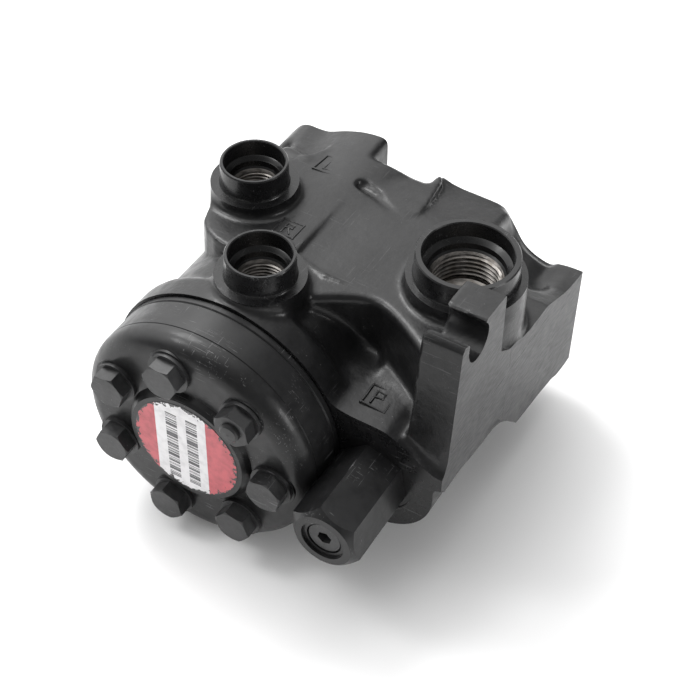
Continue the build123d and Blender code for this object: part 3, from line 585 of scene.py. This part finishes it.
# ---------------------------------------------------------------- materials
class Look:
    """A procedural material, built node by node in millimetres of the object's own space."""

    def __init__(self, name, metallic=0.0, coat=0.0, coat_roughness=0.1, specular=0.5):
        self.mat = bpy.data.materials.new(name)
        self.mat.use_nodes = True
        self.tree = self.mat.node_tree
        self.shader = self.tree.nodes["Principled BSDF"]
        self.shader.inputs["Metallic"].default_value = metallic
        self.shader.inputs["Coat Weight"].default_value = coat
        self.shader.inputs["Specular IOR Level"].default_value = specular
        self.shader.inputs["Coat Roughness"].default_value = coat_roughness
        self.space = self.tree.nodes.new("ShaderNodeTexCoord").outputs["Object"]
        self.height = None

    def link(self, source, node, socket):
        self.tree.links.new(source, node.inputs[socket])

    def stretched(self, scale, turn=(0, 0, 0)):
        node = self.tree.nodes.new("ShaderNodeMapping")
        node.inputs["Scale"].default_value = [c / MM for c in scale]
        node.inputs["Rotation"].default_value = [math.radians(c) for c in turn]
        self.link(self.space, node, "Vector")
        return node.outputs["Vector"]

    def noise(self, scale, detail=3.0, roughness=0.55, turn=(0, 0, 0)):
        """Noise; scale is cycles to the millimetre, one value or one for each axis."""
        node = self.tree.nodes.new("ShaderNodeTexNoise")
        node.inputs["Scale"].default_value = 1.0
        node.inputs["Detail"].default_value = detail
        node.inputs["Roughness"].default_value = roughness
        axes = scale if isinstance(scale, tuple) else (scale, scale, scale)
        self.link(self.stretched(axes, turn), node, "Vector")
        return node.outputs["Fac"]

    def cells(self, scale):
        node = self.tree.nodes.new("ShaderNodeTexVoronoi")
        node.inputs["Scale"].default_value = 1.0
        self.link(self.stretched((scale, scale, scale)), node, "Vector")
        return node.outputs["Distance"]

    def between(self, value, low, high, start=0.0, end=1.0):
        node = self.tree.nodes.new("ShaderNodeMapRange")
        node.interpolation_type = "SMOOTHSTEP"
        for socket, number in (("From Min", low), ("From Max", high), ("To Min", start), ("To Max", end)):
            node.inputs[socket].default_value = number
        self.link(value, node, "Value")
        return node.outputs["Result"]

    def math(self, kind, a, b=None):
        node = self.tree.nodes.new("ShaderNodeMath")
        node.operation = kind
        for k, value in enumerate((a, b)):
            if isinstance(value, (int, float)):
                node.inputs[k].default_value = value
            elif value is not None:
                self.tree.links.new(value, node.inputs[k])
        return node.outputs["Value"]

    def mix(self, factor, a, b):
        node = self.tree.nodes.new("ShaderNodeMix")
        node.data_type = "RGBA"
        for k, value in ((6, a), (7, b)):
            if isinstance(value, tuple):
                node.inputs[k].default_value = (*value, 1)
            else:
                self.tree.links.new(value, node.inputs[k])
        self.tree.links.new(factor, node.inputs[0])
        return node.outputs[2]

    def bump(self, height, depth, strength=1.0):
        """Adds a relief of that many millimetres to the ones before it."""
        node = self.tree.nodes.new("ShaderNodeBump")
        node.inputs["Distance"].default_value = depth * MM
        node.inputs["Strength"].default_value = strength
        self.link(height, node, "Height")
        if self.height is not None:
            self.link(self.height, node, "Normal")
        self.height = node.outputs["Normal"]

    def edges(self, low, high):
        """Worn edges, from the surface's own sharpness."""
        node = self.tree.nodes.new("ShaderNodeNewGeometry")
        return self.between(node.outputs["Pointiness"], low, high)

    def axis(self, letter):
        node = self.tree.nodes.new("ShaderNodeSeparateXYZ")
        self.link(self.stretched((1, 1, 1)), node, "Vector")
        return node.outputs[letter]

    def done(self, colour, roughness):
        self.link(colour, self.shader, "Base Color")
        self.link(roughness, self.shader, "Roughness")
        if self.height is not None:
            self.link(self.height, self.shader, "Normal")
        return self.mat


SCUFFED, BARE_IRON = (0.11, 0.11, 0.112), (0.17, 0.168, 0.165)


def enamel(name, dark, light, roughness, grain, scuffs, chips, rubbed_edges=0.0):
    """Black enamel: grain is the cast texture's depth in mm, scuffs and chips their amounts."""
    look = Look(name, coat=0.10, coat_roughness=0.12, specular=0.30)
    patches = look.noise(0.045, 2.0)
    mottle = look.noise(0.5, 4.0)
    tone = look.math("ADD", look.math("MULTIPLY", patches, 0.6), look.math("MULTIPLY", mottle, 0.4))
    colour = look.mix(look.between(tone, 0.36, 0.66), dark, light)
    streaks = look.between(look.noise((0.05, 3.2, 0.9), 2.0, turn=(12, 35, 64)), 0.655, 0.70)
    crossed = look.between(look.noise((2.6, 0.06, 0.8), 2.0, turn=(50, 8, 21)), 0.665, 0.70)
    where = look.between(look.noise(0.07, 2.0), 0.50, 0.62)
    strokes = look.math("MAXIMUM", streaks, crossed)
    scuff = look.math("MULTIPLY", strokes, look.math("MULTIPLY", where, scuffs))
    colour = look.mix(scuff, colour, SCUFFED)
    speck = look.between(look.cells(0.34), 0.085, 0.05)
    speck = look.math("MULTIPLY", speck, look.between(look.noise(0.11, 1.0), 0.56, 0.62))
    bare = look.math("MULTIPLY", speck, chips)
    if rubbed_edges:
        patchy = look.between(look.noise(0.33, 3.0), 0.50, 0.62)
        rubbed = look.math("MULTIPLY", look.edges(0.55, 0.62), patchy)
        bare = look.math("MAXIMUM", bare, look.math("MULTIPLY", rubbed, rubbed_edges))
    colour = look.mix(bare, colour, BARE_IRON)
    gloss = look.between(look.noise(0.22, 3.0), 0.3, 0.7, roughness - 0.06, roughness + 0.07)
    gloss = look.math("ADD", gloss, look.math("MULTIPLY", look.math("MAXIMUM", scuff, bare), 0.2))
    look.bump(look.noise(0.55, 3.0, 0.5), grain)
    look.bump(look.noise(1.7, 2.0), grain * 0.28)
    look.bump(bare, 0.05)
    return look.done(colour, gloss)


def milled(name):
    """A milled face under thin enamel: faint cutter marks, two scribed lines and runs of paint."""
    look = Look(name, coat=0.08, coat_roughness=0.2, specular=0.35)
    tone = look.noise((0.02, 0.03, 0.06), 3.0)
    colour = look.mix(look.between(tone, 0.35, 0.65), (0.026, 0.026, 0.027), (0.044, 0.044, 0.045))
    cutter = look.noise((0.05, 0.16, 2.3), 2.0, turn=(24, 0, 0))
    colour = look.mix(look.between(cutter, 0.6, 0.72, 0.0, 0.35), colour, (0.10, 0.10, 0.10))
    wander = look.math("MULTIPLY", look.math("SUBTRACT", look.noise(0.06, 2.0), 0.5), 3.0)
    across = look.math("ABSOLUTE", look.math("SUBTRACT", look.math("ADD", look.axis("Z"), wander), 19.0))
    down = look.math("ABSOLUTE", look.math("ADD", look.math("ADD", look.axis("Y"), wander), 66.0))
    line = look.math("MAXIMUM", look.between(across, 0.34, 0.14), look.between(down, 0.30, 0.12))
    line = look.math("MULTIPLY", line, look.between(look.noise(0.16, 2.0), 0.40, 0.55))
    colour = look.mix(line, colour, (0.012, 0.012, 0.012))
    runs = look.between(look.noise((0.1, 0.6, 0.12), 3.0), 0.66, 0.70)
    runs = look.math("MULTIPLY", runs, look.between(look.noise(0.05, 1.0), 0.52, 0.6))
    colour = look.mix(runs, colour, (0.014, 0.014, 0.014))
    gloss = look.between(look.noise((0.1, 0.2, 1.2), 3.0), 0.3, 0.7, 0.42, 0.56)
    look.bump(cutter, 0.02)
    look.bump(look.noise(0.9, 3.0), 0.015)
    look.bump(line, -0.15)
    return look.done(colour, gloss)


def metal(name, dark, light, roughness, lay, grain=0.004, stain=(0.16, 0.14, 0.12), stained=0.0):
    """Bare metal; lay is the stretch of its finishing marks along X, Y and Z."""
    look = Look(name, metallic=1.0)
    marks = look.noise(lay, 4.0, 0.6)
    colour = look.mix(look.between(marks, 0.3, 0.7), dark, light)
    dull = look.math("MULTIPLY", look.between(look.noise(0.16, 4.0), 0.50, 0.66), stained)
    colour = look.mix(dull, colour, stain)
    gloss = look.between(marks, 0.25, 0.75, roughness - 0.07, roughness + 0.09)
    gloss = look.math("ADD", gloss, look.math("MULTIPLY", dull, 0.18))
    look.bump(marks, grain)
    return look.done(colour, gloss)


def nitrile(name):
    look = Look(name)
    bloom = look.noise(0.4, 4.0)
    colour = look.mix(look.between(bloom, 0.4, 0.7), (0.014, 0.014, 0.015), (0.032, 0.032, 0.031))
    look.bump(look.noise(2.2, 3.0), 0.02)
    return look.done(colour, look.between(bloom, 0.3, 0.7, 0.5, 0.68))


def printed_label(name):
    """Red film with a white band and two columns of bars; its rim is chipped away to the enamel."""
    look = Look(name, coat=0.25, coat_roughness=0.12)
    x, z = look.axis("X"), look.axis("Z")
    band = look.math("MULTIPLY", look.math("GREATER_THAN", x, -12.8), look.math("LESS_THAN", x, 9.2))
    grime = look.noise(0.3, 4.0)
    red = look.mix(look.between(grime, 0.35, 0.7), (0.56, 0.075, 0.095), (0.42, 0.06, 0.075))
    white = look.mix(look.between(grime, 0.4, 0.75), (0.80, 0.79, 0.80), (0.66, 0.65, 0.66))
    colour = look.mix(band, red, white)
    printed = None
    for low, high, top, bottom in ((-8.1, -3.2, 16.0, -18.4), (0.7, 5.5, 16.2, -18.2)):
        column = look.math("MULTIPLY", look.math("GREATER_THAN", x, low), look.math("LESS_THAN", x, high))
        span = look.math("MULTIPLY", look.math("LESS_THAN", z, top), look.math("GREATER_THAN", z, bottom))
        column = look.math("MULTIPLY", column, span)
        printed = column if printed is None else look.math("MAXIMUM", printed, column)
    rows = look.noise((0.0, 0.0, 0.85), 2.0, 0.8)
    bars = look.between(rows, 0.475, 0.50)
    colour = look.mix(look.math("MULTIPLY", printed, bars), colour, (0.035, 0.035, 0.04))
    reach = look.math("SQRT", look.math("ADD", look.math("MULTIPLY", x, x), look.math("MULTIPLY", z, z)))
    torn = look.math("ADD", reach, look.between(look.noise(0.5, 4.0, 0.6), 0.42, 0.72, 0.0, 2.6))
    gone = look.between(torn, 21.9, 22.1)
    colour = look.mix(gone, colour, (0.022, 0.022, 0.023))
    look.bump(gone, -0.12)
    look.bump(look.noise(0.25, 2.0), 0.03)
    return look.done(colour, look.between(grime, 0.3, 0.7, 0.30, 0.46))


BLACK, SOOT = (0.0060, 0.0060, 0.0063), (0.0105, 0.0105, 0.0110)
OILED_BLACK, OILED_GREY = (0.016, 0.016, 0.0165), (0.034, 0.034, 0.035)
CAST = enamel("cast_enamel", BLACK, SOOT, roughness=0.34, grain=0.10, scuffs=0.35, chips=0.5,
              rubbed_edges=0.35)
COLLAR = enamel("collar_enamel", BLACK, SOOT, roughness=0.27, grain=0.016, scuffs=0.5, chips=0.4)
TURNED = enamel("turned_enamel", BLACK, SOOT, roughness=0.36, grain=0.030, scuffs=1.0, chips=0.9)
FASTENER = enamel("fastener_enamel", OILED_BLACK, OILED_GREY, roughness=0.36, grain=0.05, scuffs=1.0,
                  chips=1.0)
MILLED = milled("milled_enamel")
THREAD = metal("bare_thread", (0.10, 0.095, 0.09), (0.34, 0.32, 0.30), 0.40,
               lay=(0.3, 0.3, 1.2), stained=0.5)
GROUND = metal("ground_steel", (0.42, 0.42, 0.43), (0.60, 0.60, 0.61), 0.26,
               lay=(2.6, 0.25, 2.6), stained=0.25)
SHAFT = metal("bright_shaft", (0.56, 0.56, 0.57), (0.74, 0.74, 0.75), 0.24,
              lay=(0.5, 3.0, 0.5), stained=0.15)
SPRING = metal("spring_steel", (0.20, 0.20, 0.21), (0.38, 0.38, 0.40), 0.32,
               lay=(1.1, 1.1, 1.1), stained=0.35)
BRASS = metal("brass", (0.48, 0.34, 0.12), (0.68, 0.52, 0.24), 0.30,
              lay=(1.4, 0.4, 1.4), stain=(0.22, 0.13, 0.05), stained=0.4)
RUBBER = nitrile("nitrile")
LABEL = printed_label("label")
FINISHES = {
    "cast_housing": CAST, "black_steel": TURNED, "black_fastener": FASTENER, "label": LABEL,
    "ground_steel": GROUND, "spring_steel": SPRING, "bright_shaft": SHAFT, "nitrile": RUBBER,
    "brass": BRASS,
}
ON_COLLAR, ON_MILLED, ON_THREAD, ON_BORE = 1, 2, 3, 4


def finish(obj, *looks):
    obj.data.materials.clear()
    for look in looks:
        obj.data.materials.append(look)


def in_port(centre):
    """Whether a place in mm lies on the bare thread of one of the top ports."""
    for port in PORTS:
        near = math.hypot(centre.x - port["x"], centre.y - port["y"]) < port["major"] + 0.25
        if near and centre.z < PORT_RIM - 10.8 and centre.z > port["floor"] - 12:
            return True
    return False


def housing_finish(obj):
    """Cast skin all over, with turned, milled and bare faces where the tools have been."""
    finish(obj, CAST, COLLAR, MILLED, THREAD, GROUND)
    for face in obj.data.polygons:
        centre = face.center / MM
        if centre.x > FLAT_FACE - 0.02 or abs(centre.y) < 0.02:
            face.material_index = ON_MILLED
        elif in_port(centre):
            face.material_index = ON_THREAD
        elif math.hypot(centre.x, centre.z) < 19.5 and END_FACE + 0.3 < centre.y < -0.3:
            face.material_index = ON_BORE
        elif centre.z > FLANGE_TOP - 0.3 and any(
                math.hypot(centre.x - p["x"], centre.y - p["y"]) < p["flange"] + 0.6 for p in PORTS):
            face.material_index = ON_COLLAR
        elif centre.y < END_FACE + 0.02:
            face.material_index = ON_COLLAR


housing_finish(housing)
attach(housing, "housing")
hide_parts("housing")
for part in frame["record"]["subparts"]:
    if part["node"] != "housing":
        finish(frame["nodes"][part["node"]], FINISHES[part["material_slot"]])

# ---------------------------------------------------------------- studio
CAMERA_PLACE = Vector((236.2, -444.8, 443.4)) * MM
CAMERA_TURN = math.radians(29.35)
CAMERA_RISE = math.radians(45.9)
CAMERA_ROLL = math.radians(1.36)
level = math.cos(CAMERA_RISE)
back = Vector((math.sin(CAMERA_TURN) * level, -math.cos(CAMERA_TURN) * level, math.sin(CAMERA_RISE)))
side = Vector((math.cos(CAMERA_TURN), math.sin(CAMERA_TURN), 0))
above = back.cross(side)
right = math.cos(CAMERA_ROLL) * side + math.sin(CAMERA_ROLL) * above
up = -math.sin(CAMERA_ROLL) * side + math.cos(CAMERA_ROLL) * above
camera_data = bpy.data.cameras.new("camera")
camera_data.lens = 82.6
camera_data.sensor_width = 36
camera = bpy.data.objects.new("camera", camera_data)
bpy.context.scene.collection.objects.link(camera)
camera.matrix_world = Matrix((
    (right.x, up.x, back.x, CAMERA_PLACE.x),
    (right.y, up.y, back.y, CAMERA_PLACE.y),
    (right.z, up.z, back.z, CAMERA_PLACE.z),
    (0, 0, 0, 1)))
bpy.context.scene.camera = camera

floor_mesh = bpy.data.meshes.new("floor")
floor_mesh.from_pydata([(-6, -6, 0), (6, -6, 0), (6, 6, 0), (-6, 6, 0)], [], [(0, 1, 2, 3)])
floor = new_object("floor", floor_mesh)
floor.location.z = UNDERSIDE * MM - 0.0002
floor_look = Look("pale_floor")
floor_tone = floor_look.noise(0.004, 2.0)
floor_colour = floor_look.mix(floor_tone, (0.90, 0.90, 0.90), (0.93, 0.93, 0.93))
floor_look.done(floor_colour, floor_look.between(floor_tone, 0, 1, 0.75, 0.85))
finish(floor, floor_look.mat)


def softbox(name, place, size, power):
    """A square light of that many metres and watts, turned towards the middle of the object."""
    data = bpy.data.lights.new(name, "AREA")
    data.energy = power
    data.shape = "RECTANGLE"
    data.size = size
    data.size_y = size
    light = bpy.data.objects.new(name, data)
    bpy.context.scene.collection.objects.link(light)
    light.location = place
    light.rotation_euler = (Vector(CENTRE) - Vector(place)).to_track_quat("-Z", "Y").to_euler()


CENTRE = (0.02, -0.07, 0.0)
softbox("overhead", (-0.62, 0.25, 1.0), size=0.45, power=7)
softbox("right_side", (1.15, 0.0, 0.35), size=0.4, power=4.5)
softbox("upper_left", (-0.55, -0.35, 0.77), size=0.22, power=1.6)

# a broad soft glow from above and to the left, in an even pale room
world = bpy.data.worlds.new("world")
bpy.context.scene.world = world
world.use_nodes = True
sky = world.node_tree
facing = sky.nodes.new("ShaderNodeVectorMath")
facing.operation = "DOT_PRODUCT"
facing.inputs[1].default_value = Vector((-0.60, 0.25, 0.76)).normalized()
sky.links.new(sky.nodes.new("ShaderNodeTexCoord").outputs["Generated"], facing.inputs[0])
glow = sky.nodes.new("ShaderNodeMapRange")
glow.interpolation_type = "SMOOTHSTEP"
for socket, number in (("From Min", 0.42), ("From Max", 0.94), ("To Min", 0.31), ("To Max", 2.5)):
    glow.inputs[socket].default_value = number
sky.links.new(facing.outputs["Value"], glow.inputs["Value"])
sky.nodes["Background"].inputs["Color"].default_value = (1, 1, 1, 1)
sky.links.new(glow.outputs["Result"], sky.nodes["Background"].inputs["Strength"])
bpy.context.scene.view_settings.view_transform = "Standard"
